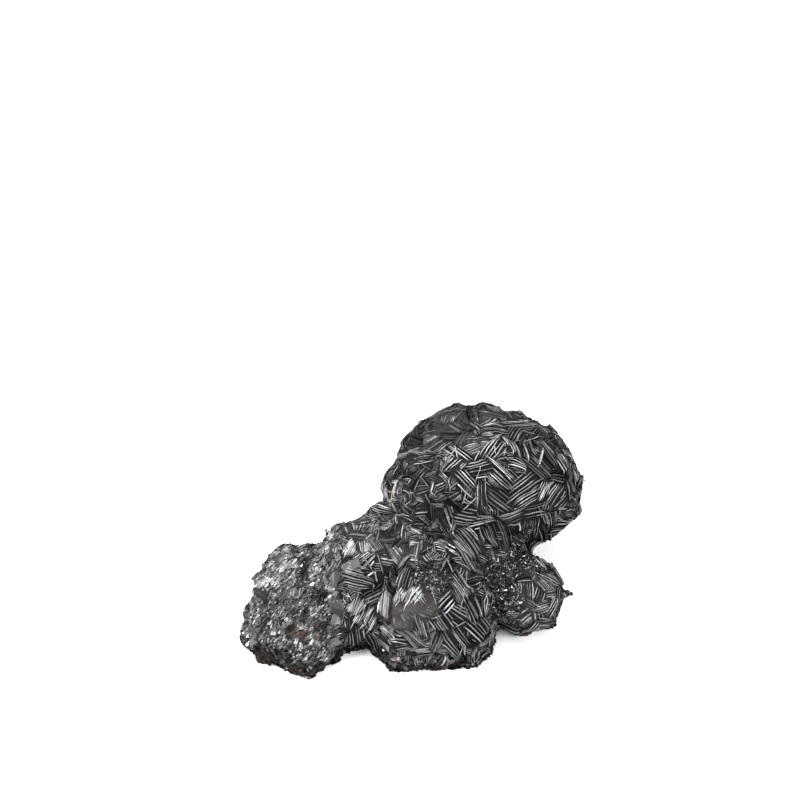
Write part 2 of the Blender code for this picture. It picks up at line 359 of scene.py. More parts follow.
class Shader:
    """A material's node tree, with one method for every kind of node."""

    def __init__(self, name: str) -> None:
        """Start an empty material.

        Args:
            name: the material's name.
        """
        self.material = bpy.data.materials.new(name)
        self.material.use_nodes = True
        self.tree = self.material.node_tree
        self.tree.nodes.clear()

    def node(self, kind: str, settings: dict[str, Any], inputs: dict[Any, Any], output: Any = 0) -> Value:
        """Add a node.

        Args:
            kind: the node's type name.
            settings: attributes set before its sockets.
            inputs: socket name or index to a number, a tuple or a Value.
            output: name or index of the output to return.

        Returns:
            That output, empty for a node without outputs.
        """
        made = self.tree.nodes.new(kind)
        for key, value in settings.items():
            setattr(made, key, value)
        for key, value in inputs.items():
            if isinstance(value, Value):
                self.tree.links.new(value.socket, made.inputs[key])
            else:
                made.inputs[key].default_value = value
        return Value(self, made.outputs[output] if made.outputs else None)

    def place(self) -> Value:
        """Object coordinates."""
        return self.node("ShaderNodeTexCoord", {}, {}, "Object")

    def attribute(self, name: str) -> Value:
        """A number stored on the mesh."""
        return self.node("ShaderNodeAttribute", {"attribute_name": name}, {}, "Fac")

    def colour(self, name: str) -> Value:
        """A colour stored on the mesh."""
        return self.node("ShaderNodeAttribute", {"attribute_name": name}, {}, "Color")

    def noise(self, size: float, detail: float = 3.0, roughness: float = 0.55) -> Value:
        """Noise whose features are about size metres across, from 0 to 1."""
        inputs = {"Vector": self.place(), "Scale": 1.0 / size, "Detail": detail, "Roughness": roughness}
        return self.node("ShaderNodeTexNoise", {}, inputs, "Fac")

    def height(self) -> Value:
        """The height over the floor, in metres."""
        return self.node("ShaderNodeSeparateXYZ", {}, {0: self.place()}, "Z")

    def blend(self, factor: Any, first: Any, second: Any) -> Value:
        """Colour first where factor is 0, second where it is 1."""
        inputs = {"Factor": factor, 6: first, 7: second}
        return self.node("ShaderNodeMix", {"data_type": "RGBA"}, inputs, 2)

    def bump(self, height: Value, distance: float, strength: float = 1.0) -> Value:
        """A normal bent by height, distance metres high."""
        return self.node("ShaderNodeBump", {}, {"Height": height, "Distance": distance, "Strength": strength})

    def finish(self, **inputs: Any) -> bpy.types.Material:
        """Close the tree with a Principled BSDF.

        Args:
            inputs: socket names with _ for spaces, to numbers, tuples or values.

        Returns:
            The material.
        """
        named = {key.replace("_", " "): value for key, value in inputs.items()}
        surface = self.node("ShaderNodeBsdfPrincipled", {}, named)
        self.node("ShaderNodeOutputMaterial", {}, {"Surface": surface})
        return self.material


@dataclass(frozen=True)
class CrystalFinish:
    """Steel-grey metallic crystal, brown near the floor.

    Its foot is painted dark as shade and its top painted bright as a highlight.

    mottle is how much its brightness wanders along it, and striae how deeply it is striated.
    """

    name: str
    mottle: float
    striae: float
    roughness: float
    dark: Colour = (0.003, 0.003, 0.0033, 1.0)
    bright: Colour = (0.38, 0.38, 0.384, 1.0)
    brown: Colour = (0.020, 0.0146, 0.0115, 1.0)
    edge: Colour = (0.25, 0.25, 0.25, 1.0)
    metallic: float = 0.97
    mottle_size: float = 1.8 * MM
    striae_size: float = 0.35 * MM
    striae_height: float = 0.05 * MM
    dirt_size: float = 5.0 * MM
    dirt_top: Span = (1.5 * MM, 6.0 * MM)

    def material(self) -> bpy.types.Material:
        """Build the material.

        Returns:
            The material, which reads shade, the painted light and the stains from the mesh.
        """
        shader = Shader(self.name)
        shade = shader.attribute("shade")
        # The painted light stored on the mesh: painted shade at a crystal's foot, a painted highlight along
        # its top.
        painted_crest_light = shader.attribute("painted_crest_light").clamped()
        stain = shader.attribute("stain").clamped()
        wander = (shader.noise(self.mottle_size) - 0.5) * self.mottle * painted_crest_light * shade.ramp(0.0, 0.3)
        level = (shade * (0.06 + painted_crest_light * 0.94) + wander).clamped()
        colour = shader.blend(level, self.dark, self.bright)
        low = 1.0 - shader.height().ramp(*self.dirt_top)
        dirt = (low * shader.noise(self.dirt_size).ramp(0.42, 0.62) * 0.7).clamped()
        colour = shader.blend(dirt, colour, self.brown)
        colour = shader.blend(stain, colour, shader.colour("stain_colour"))
        striae = shader.noise(self.striae_size, 2.0)
        return shader.finish(
            Base_Color=colour,
            Metallic=(self.metallic - stain * 0.6).clamped(),
            Roughness=(self.roughness + (striae - 0.5) * 0.3 + stain * 0.3).clamped(0.15, 0.9),
            Specular_Tint=self.edge,
            Normal=shader.bump(striae, self.striae_height, self.striae),
        )


LATH_FINISH = CrystalFinish("lath_crystal", mottle=0.40, striae=0.5, roughness=0.42)
CLEAVAGE_FINISH = CrystalFinish("cleavage_crystal", mottle=0.35, striae=0.30, roughness=0.40)
# A darker copy of the crystal finish for the grains in pits, hollows and undersides: painted shade of those
# recesses, in darker darks and dimmer reflections at grazing angles.
SHADED_PIT_FINISH = CrystalFinish(
    "pit_crystal_shaded", mottle=0.35, striae=0.30, roughness=0.36,
    dark=(0.0015, 0.0015, 0.0017, 1.0), edge=(0.10, 0.10, 0.10, 1.0),
)


@dataclass(frozen=True)
class MassFinish:
    """The ground between the crystals: dark, fine-grained and dull, brown towards the root."""

    name: str = "oxide_mass"
    dark: Colour = (0.004, 0.004, 0.0043, 1.0)
    polished: Colour = (0.028, 0.0252, 0.0238, 1.0)
    brown: Colour = (0.011, 0.0085, 0.007, 1.0)
    specular: float = 0.08
    grain_size: float = 0.6 * MM
    grain_height: float = 0.12 * MM
    drift_size: float = 3.0 * MM
    brown_size: float = 4.0 * MM
    brown_top: Span = (2.0 * MM, 8.0 * MM)

    def material(self) -> bpy.types.Material:
        """Build the material.

        Returns:
            The material, which reads worn from the mesh.
        """
        shader = Shader(self.name)
        grain = shader.noise(self.grain_size, 4.0, 0.65)
        drift = shader.noise(self.drift_size, 3.0)
        worn = (shader.attribute("worn") * (0.3 + grain * 1.4)).clamped()
        skin = grain.ramp(0.45, 0.8) * 0.15 + drift.ramp(0.50, 0.72) * grain * 0.55
        level = (skin + worn * (drift.ramp(0.25, 0.70) * 0.8 + 0.35)).clamped()
        colour = shader.blend(level, self.dark, self.polished)
        low = 1.0 - shader.height().ramp(*self.brown_top)
        earthy = (low * shader.noise(self.brown_size).ramp(0.4, 0.6)).clamped()
        return shader.finish(
            Base_Color=shader.blend(earthy, colour, self.brown),
            Roughness=(0.85 - worn * 0.25 - grain * 0.1).clamped(0.2, 1.0),
            Specular_IOR_Level=self.specular,
            Normal=shader.bump(grain, self.grain_height, 0.7),
        )


def link_mesh(name: str, mesh: bpy.types.Mesh) -> bpy.types.Object:
    """Link a mesh as an object at the origin.

    Args:
        name: the object's name.
        mesh: its mesh.

    Returns:
        The object.
    """
    piece = bpy.data.objects.new(name, mesh)
    bpy.context.scene.collection.objects.link(piece)
    return piece


def mesh_of(bm: bmesh.types.BMesh, name: str) -> bpy.types.Mesh:
    """Turn a bmesh into a mesh, and free it.

    Args:
        bm: the bmesh.
        name: the mesh's name.

    Returns:
        The mesh.
    """
    mesh = bpy.data.meshes.new(name)
    bm.to_mesh(mesh)
    bm.free()
    return mesh


def merged(name: str, parts: Iterable[bpy.types.Mesh]) -> bpy.types.Mesh:
    """Join meshes, and remove them.

    Args:
        name: the new mesh's name.
        parts: the meshes.

    Returns:
        One mesh of them all.
    """
    bm = bmesh.new()
    for part in parts:
        bm.from_mesh(part)
        bpy.data.meshes.remove(part)
    return mesh_of(bm, name)


def store(mesh: bpy.types.Mesh, name: str, values: Array) -> None:
    """Store a number, or a colour, for each point of a mesh."""
    kind, key = ("FLOAT", "value") if values.ndim == 1 else ("FLOAT_COLOR", "color")
    mesh.attributes.new(name, kind, "POINT").data.foreach_set(key, values.astype(np.float32).ravel())


def unit(run: Array) -> Array:
    """run made one long."""
    return run / np.linalg.norm(run)


def in_surface(run: Array, normal: Array) -> Array:
    """run laid in the surface that has this normal, one long."""
    return unit(run - normal * run.dot(normal))


def declare(piece: bpy.types.Object, replaces: bool = False) -> None:
    """Tell the frame what a piece rides on.

    Args:
        piece: the piece.
        replaces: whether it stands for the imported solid.
    """
    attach(piece, BODY)
    if replaces:
        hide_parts(NODE)
    LOG.info("%s: %d triangles", piece.name, sum(len(p.vertices) - 2 for p in piece.data.polygons))


def dressed(mesh: bpy.types.Mesh, material: bpy.types.Material) -> None:
    """Finish a mesh as a piece of the same name."""
    mesh.materials.append(material)
    declare(link_mesh(mesh.name, mesh))


class Piece:
    """One piece of the visual model, which is one mesh."""

    mesh: bpy.types.Mesh

    def dress(self, material: bpy.types.Material) -> None:
        """Finish the piece."""
        dressed(self.mesh, material)


@dataclass
class View:
    """The camera, and where its rays meet a surface."""

    aim: tuple[float, float, float] = (-4.8, 65.85, 0.0)
    elevation: float = 45.0
    distance: float = 550.0
    focal_pixels: float = 1893.0
    sensor: float = 36.0

    def __post_init__(self) -> None:
        """Work out the camera's place and axes."""
        slope = math.radians(self.elevation)
        self.right = Vector((1, 0, 0))
        self.up = Vector((0, math.sin(slope), math.cos(slope)))
        self.forward = Vector((0, math.cos(slope), -math.sin(slope)))
        self.eye = (Vector(self.aim) - self.forward * self.distance) * MM

    def camera(self) -> None:
        """Make the scene's camera."""
        data = bpy.data.cameras.new("camera")
        data.sensor_width = self.sensor
        data.lens = self.focal_pixels / FRAME_PIXELS * self.sensor
        data.clip_start = 0.01
        camera = bpy.data.objects.new("camera", data)
        camera.location = self.eye
        camera.rotation_euler = self.forward.to_track_quat("-Z", "Y").to_euler()
        bpy.context.scene.collection.objects.link(camera)
        bpy.context.scene.camera = camera

    def meets(self, surface: BVHTree, pixel: Pixel) -> tuple[Vector, Vector] | None:
        """Where the ray through a pixel of the frame meets a surface.

        Args:
            surface: the surface.
            pixel: column and row in the frame.

        Returns:
            The point and the normal there, or None.
        """
        across = (pixel[0] - FRAME_PIXELS / 2) / self.focal_pixels
        down = (pixel[1] - FRAME_PIXELS / 2) / self.focal_pixels
        ray = self.forward + self.right * across - self.up * down
        point, normal, _, _ = surface.ray_cast(self.eye, ray)
        return None if point is None else (point, normal)


@dataclass
class GrownMass:
    """The smooth ground under the crystals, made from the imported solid."""

    weld: float = 0.001 * MM
    voxel: float = 0.55 * MM
    smoothing: int = 14
    lump: float = 4.0 * MM
    lump_rise: float = 0.35 * MM
    inset: float = 0.25 * MM

    def build(self) -> None:
        """Make the ground's mesh, its surface tree, and its faces' areas, centres and normals."""
        bm = bmesh.new()
        bm.from_mesh(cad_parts[NODE].data)
        bmesh.ops.remove_doubles(bm, verts=bm.verts, dist=self.weld)
        source = link_mesh("ground_source", mesh_of(bm, "ground"))
        remesh = source.modifiers.new("skin", "REMESH")
        remesh.mode = "VOXEL"
        remesh.voxel_size = self.voxel
        soften = source.modifiers.new("soften", "SMOOTH")
        soften.iterations = self.smoothing
        graph = bpy.context.evaluated_depsgraph_get()
        skin = bpy.data.meshes.new_from_object(source.evaluated_get(graph))
        bpy.data.objects.remove(source, do_unlink=True)
        points = np.empty(len(skin.vertices) * 3, dtype=np.float32)
        normals = np.empty_like(points)
        skin.vertices.foreach_get("co", points)
        skin.vertex_normals.foreach_get("vector", normals)
        points = points.reshape(-1, 3)
        lifts = np.array([noise.noise(Vector(p) / self.lump) for p in points]) * self.lump_rise - self.inset
        points += normals.reshape(-1, 3) * lifts[:, None]
        points[:, 2] = np.maximum(points[:, 2], 0.0)
        skin.vertices.foreach_set("co", points.ravel())
        skin.update()
        self.mesh = skin
        self.surface = BVHTree.FromPolygons(points.tolist(), [tuple(p.vertices) for p in skin.polygons])
        self.areas = np.array([p.area for p in skin.polygons])
        self.centres = np.array([p.center for p in skin.polygons])
        self.normals = np.array([p.normal for p in skin.polygons])

    def dress(self, worn_at: Callable[[Array], Array]) -> None:
        """Finish the ground as a piece.

        Args:
            worn_at: gives how worn each point is, from 0 to 1.
        """
        store(self.mesh, "worn", worn_at(np.array([v.co for v in self.mesh.vertices])))
        self.mesh.polygons.foreach_set("use_smooth", np.ones(len(self.mesh.polygons), dtype=bool))
        self.mesh.materials.append(MassFinish().material())
        declare(link_mesh("oxide_mass", self.mesh), replaces=True)


@dataclass
class Site:
    """A bundle on the surface: its middle, normal and axis, its half sizes and its glow."""

    place: Array
    normal: Array
    axis: Array
    half_length: float
    half_width: float
    glow: float

    def __post_init__(self) -> None:
        """Lay the axis in the surface."""
        self.axis = in_surface(self.axis, self.normal)


def laid_out(view: View, mass: GrownMass, strokes: Iterable[Stroke]) -> list[Site]:
    """The sites on the ground of strokes seen in the frame.

    Args:
        view: the camera.
        mass: the ground.
        strokes: the strokes.

    Returns:
        Their sites, without those whose rays meet nothing.
    """
    sites = []
    for stroke in strokes:
        middle = ((stroke.start[0] + stroke.end[0]) / 2, (stroke.start[1] + stroke.end[1]) / 2)
        hits = [view.meets(mass.surface, pixel) for pixel in (stroke.start, stroke.end, middle)]
        if None in hits:
            continue
        (first, _), (last, _), (place, normal) = hits
        run = np.array(last - first)
        half_length = np.clip(np.linalg.norm(run) / 2, *HALF_LENGTHS)
        half_width = stroke.wide * MM / 2
        sites.append(Site(np.array(place), np.array(normal), run, half_length, half_width, stroke.glow))
    return sites


POLISH = {Ground.SMOOTH: 1.0, Ground.WORN: 0.45, Ground.FELT: 0.40, Ground.NEEDLES: 0.25}


@dataclass
class Terrain:
    """Which ground is where, over the whole specimen.

    The broken lobe is below broken_edge on X, and the root below root_height. Their edges wander by
    wander over wander_size. fringe is how softly a worn stretch ends, and inner the share of a flat
    face that stays clear. A mark is gone mark_reach radii from its line.
    """

    view: View
    mass: GrownMass
    broken_edge: float = -18.5 * MM
    root_height: float = 4.5 * MM
    wander: float = 1.6 * MM
    wander_size: float = 3 * MM
    broken_wear: float = 0.5
    fringe: float = 2.4 * MM
    inner: float = 0.65
    mark_reach: float = 1.6

    def __post_init__(self) -> None:
        """Set the patches, the flat faces and the marks on the surface."""
        self.patches = []
        for patch in PATCHES:
            hit = self.view.meets(self.mass.surface, patch.at)
            if hit:
                self.patches.append((np.array(hit[0]), patch.radius * MM, patch.ground))
        self.plates = laid_out(self.view, self.mass, PLATES)
        self.marks = []
        for mark in MARKS:
            ends = [self.view.meets(self.mass.surface, pixel) for pixel in (mark.start, mark.end)]
            if None not in ends:
                self.marks.append((np.array(ends[0][0]), np.array(ends[1][0]), mark))

    def at(self, points: Array) -> Array:
        """The Ground value at each point.

        Args:
            points: N by 3, in metres.

        Returns:
            N whole numbers.
        """
        sway = np.array([noise.noise(Vector(p) / self.wander_size) for p in points]) * self.wander
        found = np.full(len(points), Ground.WEAVE.value)
        found[points[:, 0] + sway < self.broken_edge] = Ground.BROKEN.value
        for centre, radius, ground in self.patches:
            found[np.linalg.norm(points - centre, axis=1) + sway < radius] = ground.value
        found[points[:, 2] + sway < self.root_height] = Ground.ROOT.value
        return found

    def bare(self, points: Array) -> Array:
        """Whether each point is where no lath grows, though its bundle may reach there."""
        return np.isin(self.at(points), (Ground.SMOOTH.value, Ground.GRAINY.value))

    def worn(self, points: Array) -> Array:
        """How smooth and worn the ground is, with soft edges.

        Args:
            points: N by 3, in metres.

        Returns:
            N numbers from 0 to 1.
        """
        worn = np.clip((self.broken_edge - points[:, 0]) / self.fringe, 0, 1) * self.broken_wear
        for centre, radius, ground in self.patches:
            if ground in POLISH:
                inside = (radius - np.linalg.norm(points - centre, axis=1)) / self.fringe + 0.5
                worn = np.maximum(worn, np.clip(inside, 0, 1) * POLISH[ground])
        return worn

    def on_plate(self, points: Array) -> Array:
        """Which points are on one of the larger flat faces.

        Args:
            points: N by 3, in metres.

        Returns:
            N truth values.
        """
        found = np.zeros(len(points), dtype=bool)
        for site in self.plates:
            away = points - site.place
            along = away @ site.axis
            across = np.linalg.norm(away - along[:, None] * site.axis, axis=1)
            inside = np.abs(along) < site.half_length * self.inner
            found |= inside & (across < site.half_width * self.inner)
        return found

    def marked(self, points: Array) -> tuple[Array, Array, Array]:
        """How the marks change each point.

        Args:
            points: N by 3, in metres.

        Returns:
            N gleams, N stain strengths and N by 4 stain colours.
        """
        gleam = np.zeros(len(points))
        strength = np.zeros(len(points))
        colours = np.ones((len(points), 4))
        for start, end, mark in self.marks:
            run = end - start
            along = np.clip((points - start) @ run / run.dot(run), 0, 1)
            away = np.linalg.norm(points - start - along[:, None] * run, axis=1)
            share = np.clip(self.mark_reach - away / (mark.radius * MM), 0, 1)
            gleam += share * mark.gleam
            if mark.colour:
                colours[share * mark.strength > strength] = mark.colour
                strength = np.maximum(strength, share * mark.strength)
        return gleam, strength, colours


@dataclass
class Strip:
    """A small shape whose rings along X are laid on a line over the surface."""

    vertices: Array
    faces: Faces
    rings: Array
    ring_count: int


def lath_strip(segments: int = 5, chamfer: float = 0.15, tip: Span = (0.6, 0.55)) -> Strip:
    """A lath one unit long, wide and high, with tapered chisel ends.

    Args:
        segments: how many stretches it bends in.
        chamfer: along its upper edges.
        tip: its ends' width and height, for its own.

    Returns:
        The strip; its X runs from 0 to 1.
    """
    bm = bmesh.new()
    bmesh.ops.create_cube(bm, size=1.0, matrix=Matrix.Translation((0.5, 0, 0.5)))
    long_edges = [e for e in bm.edges if abs(e.verts[0].co.x - e.verts[1].co.x) > 0.5]
    bmesh.ops.subdivide_edges(bm, edges=long_edges, cuts=segments - 1, use_grid_fill=True)
    top_edges = [
        e for e in bm.edges
        if all(v.co.z > 0.99 and abs(v.co.y) > 0.49 for v in e.verts)
        and abs(e.verts[0].co.x - e.verts[1].co.x) > 0.1
    ]
    bmesh.ops.bevel(
        bm, geom=top_edges, offset=chamfer, affect="EDGES", segments=1, profile=0.5, material=-1
    )
    for vertex in bm.verts:
        if min(vertex.co.x, 1 - vertex.co.x) < 0.01:
            vertex.co.y *= tip[0]
            vertex.co.z *= tip[1]
        vertex.co.z = vertex.co.z * 2 - 1
    bm.verts.index_update()
    vertices = np.array([v.co for v in bm.verts])
    faces = [tuple(v.index for v in f.verts) for f in bm.faces]
    bm.free()
    rings = np.rint(vertices[:, 0] * segments).astype(int)
    return Strip(vertices, faces, rings, segments + 1)


@dataclass
class Line:
    """A lath's line on the surface, with its sizes and its shade."""

    points: Array
    normals: Array
    width: float
    rise: float
    lean: float
    shade: float


@dataclass
class LathField:
    """Bundles of laths woven over the surface.

    step is between the samples along a lath, and the surface breaks off where two are jump steps
    apart. headings is how many ways a bundle may lie, halves its half width for half its spacing, and
    glows its brightness. Its laths start past its cell by past_end and past_side, and are cut where
    another bundle is nearer. bow is how far they curve, coarseness how coarse they may be, wobble how
    unevenly they stand, for their pitch, and fray how ragged they end at bare ground. A lath has at
    least shortest samples, and runs on over its neighbours by overrun more. widths_vary and rise_vary
    are how uneven its sizes are. glow_shade is how much shade a bundle's glow of 1 adds, gleaming the
    share of laths that shine, gleam how much, and dulling how much worn ground takes away.
    """

    view: View
    mass: GrownMass
    terrain: Terrain
    seed: int = 5
    step: float = 0.3 * MM
    jump: float = 2.5
    headings: int = 6
    halves: Span = (0.75, 1.35)
    glows: Span = (-0.3, 0.4)
    past_end: float = 1.0 * MM
    past_side: float = 0.4 * MM
    bow: float = 6.0
    coarseness: tuple[float, ...] = (0.65, 0.85, 1.0, 1.2, 1.35)
    wobble: float = 0.18
    fray: float = 0.8 * MM
    shortest: int = 4
    overrun: float = 2.2
    widths_vary: Span = (0.7, 1.3)
    rise_vary: float = 0.08 * MM
    glow_shade: float = 0.4
    gleaming: float = 0.12
    gleam: float = 0.4
    dulling: float = 0.6

    def __post_init__(self) -> None:
        """Choose where the bundles stand and how they lie."""
        self.rng = np.random.default_rng(self.seed)
        self.sites = laid_out(self.view, self.mass, BUNDLES)
        self.fill()
        self.places = np.array([site.place for site in self.sites])
        self.axes = np.array([site.axis for site in self.sites])
        self.lengths = np.array([site.half_length for site in self.sites])
        self.widths = np.array([site.half_width for site in self.sites])

    def fill(self, tries: int = 30000) -> None:
        """Fill the rest of the surface, each bundle across its neighbours.

        Args:
            tries: how many places are tried.
        """
        for point, normal, ground in self.sampled(tries):
            style = STYLES.get(ground, STYLES[Ground.WEAVE])
            gaps = np.linalg.norm(np.array([site.place for site in self.sites]) - point, axis=1)
            if point[2] < FLOOR_GAP or gaps.min() < style.spacing * MM:
                continue
            near = [self.sites[k].axis for k in np.argsort(gaps)[:4]]
            tangent = unit(np.cross(normal, self.rng.normal(size=3)))
            across = np.cross(normal, tangent)
            turns = np.arange(self.headings) * math.pi / self.headings + self.rng.uniform(0, 0.3)
            options = [tangent * math.cos(t) + across * math.sin(t) for t in turns]
            worst = [max(abs(option.dot(axis)) for axis in near) for option in options]
            half = style.spacing * MM / 2 * self.rng.uniform(*self.halves)
            axis = options[int(np.argmin(worst))]
            glow = self.rng.uniform(*self.glows)
            self.sites.append(Site(point, normal, axis, half * style.stretch, half, glow))

    def sampled(self, count: int) -> Iterable[tuple[Array, Array, Ground]]:
        """Random places on the ground.

        Args:
            count: how many.

        Returns:
            Each one's middle, its normal and its Ground.
        """
        areas = self.mass.areas
        picks = self.rng.choice(len(areas), size=count, p=areas / areas.sum())
        centres = self.mass.centres[picks]
        grounds = [Ground(int(value)) for value in self.terrain.at(centres)]
        return zip(centres, self.mass.normals[picks], grounds)

    def on_surface(self, flat: Array) -> tuple[Array, Array]:
        """The nearest points of the ground to flat's, and the normals there."""
        hits = [self.mass.surface.find_nearest(Vector(p)) for p in flat]
        return np.array([h[0] for h in hits]), np.array([h[1] for h in hits])

    def nearest(self, on: Array, near: Array) -> Array:
        """The bundle that each point belongs to.

        Args:
            on: N by 3, in metres.
            near: the numbers of the bundles that are near.

        Returns:
            N bundles' numbers.
        """
        away = on[:, None, :] - self.places[near][None, :, :]
        lengthwise = np.einsum("ijk,jk->ij", away, self.axes[near]) ** 2
        crosswise = np.einsum("ijk,ijk->ij", away, away) - lengthwise
        cost = crosswise / self.widths[near] ** 2 + lengthwise / self.lengths[near] ** 2
        return near[np.argmin(cost, axis=1)]

    def lines(self) -> Iterable[Line]:
        """Yield the laths of all bundles.

        Returns:
            Their lines.
        """
        gleams = self.terrain.marked(self.places)[0]
        for index, value in enumerate(self.terrain.at(self.places)):
            ground = Ground(int(value))
            if ground in STYLES:
                yield from self.bundle(index, ground, gleams[index] * MARK_GLEAM)

    def bundle(self, index: int, ground: Ground, gleam: float) -> Iterable[Line]:
        """Yield one bundle's laths.

        Args:
            index: the bundle's number.
            ground: what it stands on.
            gleam: the shade that marks add.

        Returns:
            Their lines.
        """
        style = STYLES[ground]
        site = self.sites[index]
        side = np.cross(site.normal, site.axis)
        lean = self.rng.normal() * style.lean
        bow = self.rng.normal() * self.bow
        flare = self.rng.normal() * style.flare
        reach = site.half_length * 1.6 + self.past_end
        along = np.arange(-reach, reach + self.step / 2, self.step)
        half = site.half_width * 1.9 + self.past_side
        height = self.rng.uniform(*style.rise) * MM
        coarse = self.rng.choice(self.coarseness)
        near = np.nonzero(np.linalg.norm(self.places - site.place, axis=1) < 3 * reach)[0]
        for offset in np.arange(-half, half, style.pitch * coarse * MM):
            if self.rng.random() < style.missing:
                continue
            shift = offset + self.rng.normal() * style.pitch * MM * self.wobble
            sway = shift + bow * along ** 2 + flare * offset * along / reach
            on, normals = self.on_surface(site.place + site.axis * along[:, None] + side * sway[:, None])
            mine = self.nearest(on, near) == index
            if ground is not Ground.SMOOTH:
                mine &= ~self.terrain.bare(on + self.rng.normal(size=3) * self.fray)
            joined = np.linalg.norm(np.diff(on, axis=0), axis=1) < self.jump * self.step
            start, stop = self.longest_run(mine, joined)
            if stop - start < self.shortest:
                continue
            start, stop = self.run_on(start, stop, joined)
            # glow and the marks' gleam add their painted highlights and painted shade to the lath's own tone.
            shade = self.rng.uniform(*style.shade) + site.glow * self.glow_shade + gleam
            shade += self.gleam * (self.rng.random() < self.gleaming)
            dulled = 1 - self.dulling * self.terrain.worn(on[start:stop]).mean() ** 2
            width = style.width * MM * coarse ** 0.5 * self.rng.uniform(*self.widths_vary)
            rise = (height + self.rng.normal() * self.rise_vary) * dulled
            yield Line(on[start:stop], normals[start:stop], width, rise, lean, shade * dulled)

    @staticmethod
    def longest_run(mine: Array, joined: Array) -> tuple[int, int]:
        """The longest stretch of samples that are all in the bundle and follow on.

        Args:
            mine: whether each sample is in the bundle.
            joined: whether each sample but the last is joined to the next.

        Returns:
            The number of its first sample, and that after its last.
        """
        best = (0, 0)
        start = 0
        for i, inside in enumerate(mine):
            if not inside or (i > start and not joined[i - 1]):
                start = i + (0 if inside else 1)
            if inside and i + 1 - start > best[1] - best[0]:
                best = (start, i + 1)
        return best

    def run_on(self, start: int, stop: int, joined: Array) -> tuple[int, int]:
        """A run made a little longer at each end, where the surface goes on without a break.

        Args:
            start: the number of its first sample.
            stop: that after its last.
            joined: whether each sample but the last is joined to the next.

        Returns:
            The new start and stop.
        """
        for _ in range(int(self.rng.exponential(self.overrun))):
            start -= 1 if start > 0 and joined[start - 1] else 0
        for _ in range(int(self.rng.exponential(self.overrun))):
            stop += 1 if stop <= len(joined) and joined[stop - 1] else 0
        return start, stop

    def lone_line(
        self, centre: Array, normal: Array, axis: Array, half: float, **look: float
    ) -> Iterable[Line]:
        """Yield one straight lath on the surface, or none where the surface breaks off.

        Args:
            centre: its middle.
            normal: the surface's normal there.
            axis: any direction that its own is near to.
            half: half its length.
            look: the Line's width, rise, lean and shade.

        Returns:
            Its line.
        """
        spots = np.arange(-half, half, self.step)[:, None]
        on, normals = self.on_surface(centre + in_surface(axis, normal) * spots)
        if np.linalg.norm(np.diff(on, axis=0), axis=1).max() < self.jump * self.step:
            yield Line(on, normals, **look)

    def strays(self, count: int = 240) -> Iterable[Line]:
        """Yield single laths that lie across the bundles.

        Args:
            count: how many are tried.

        Returns:
            Their lines.
        """
        for centre, normal, ground in self.sampled(count):
            if ground not in (Ground.WEAVE, Ground.FINE):
                continue
            look = {
                "width": self.rng.uniform(0.20, 0.34) * MM, "rise": self.rng.uniform(0.5, 0.75) * MM,
                "lean": self.rng.normal() * 0.3, "shade": self.rng.uniform(0.2, 0.8),
            }
            axis = self.rng.normal(size=3)
            yield from self.lone_line(centre, normal, axis, self.rng.uniform(1.2, 3.4) * MM, **look)

    def fillers(
        self, laid_lines: Sequence[Line], tries: int = 16000, gap: float = 0.6 * MM, apart: float = 1.4 * MM
    ) -> Iterable[Line]:
        """Yield short bundles where no lath has grown yet.

        Args:
            laid_lines: the laths so far.
            tries: how many places are tried.
            gap: how far from any lath a place is.
            apart: how far the bundles are from each other.

        Returns:
            Their lines.
        """
        grown = np.concatenate([line.points for line in laid_lines])
        tree = KDTree(len(grown))
        for i, point in enumerate(grown):
            tree.insert(point, i)
        tree.balance()
        seeds: list[Array] = []
        for centre, normal, ground in self.sampled(tries):
            if ground not in (Ground.WEAVE, Ground.FINE, Ground.SILKY) or centre[2] < FLOOR_GAP:
                continue
            if tree.find(centre)[2] < gap:
                continue
            if seeds and np.linalg.norm(np.array(seeds) - centre, axis=1).min() < apart:
                continue
            seeds.append(centre)
            axis = unit(np.cross(normal, self.rng.normal(size=3)))
            height = self.rng.uniform(0.2, 0.4) * MM
            for offset in (-0.9, -0.3, 0.3, 0.9):
                look = {
                    "width": 0.3 * MM, "rise": height, "lean": self.rng.normal() * 0.3,
                    "shade": self.rng.uniform(0.1, 0.45),
                }
                middle = centre + np.cross(normal, axis) * offset * MM
                yield from self.lone_line(middle, normal, axis, self.rng.uniform(0.9, 1.8) * MM, **look)


def laid(
    strip: Strip, line: Line, rng: np.random.Generator, uneven: float = 0.08
) -> tuple[Array, Array]:
    """Bend a strip along a line.

    Args:
        strip: the unit shape.
        line: where it goes.
        rng: for its lean.
        uneven: how far its lean is from the line's, in radians.

    Returns:
        Its vertices, and the painted light of each: a painted highlight on its top, brightest along the upper
        edge, and painted shade on its sides and foot.
    """
    spots = np.linspace(0, len(line.points) - 1, strip.ring_count)
    index = np.arange(len(line.points))
    points = np.stack([np.interp(spots, index, line.points[:, k]) for k in range(3)], axis=1)
    normals = np.stack([np.interp(spots, index, line.normals[:, k]) for k in range(3)], axis=1)
    normals = normals + normals.mean(axis=0)
    normals /= np.linalg.norm(normals, axis=1)[:, None]
    tangents = np.gradient(points, axis=0)
    tangents /= np.linalg.norm(tangents, axis=1)[:, None] + 1e-12
    sides = np.cross(normals, tangents)
    lean = line.lean + rng.normal() * uneven
    ups = normals * math.cos(lean) + sides * math.sin(lean)
    sides = sides * math.cos(lean) - normals * math.sin(lean)
    ring = strip.rings
    high = np.where(strip.vertices[:, 2] > -0.5, (strip.vertices[:, 2] + 1) / 2 * line.rise, -FOOT_DEPTH)
    placed = points[ring] + sides[ring] * (strip.vertices[:, 1:2] * line.width) + ups[ring] * high[:, None]
    # The top edge on the upper side faces the lamps above and gets the full painted highlight; the lower edge
    # gets LOW_EDGE of it.
    upper = strip.vertices[:, 1] * sides[:, 2].mean() > 0
    painted_crest_light = np.clip((strip.vertices[:, 2] - 0.5) / 0.5, 0, 1) * np.where(upper, 1.0, LOW_EDGE)
    return placed, painted_crest_light


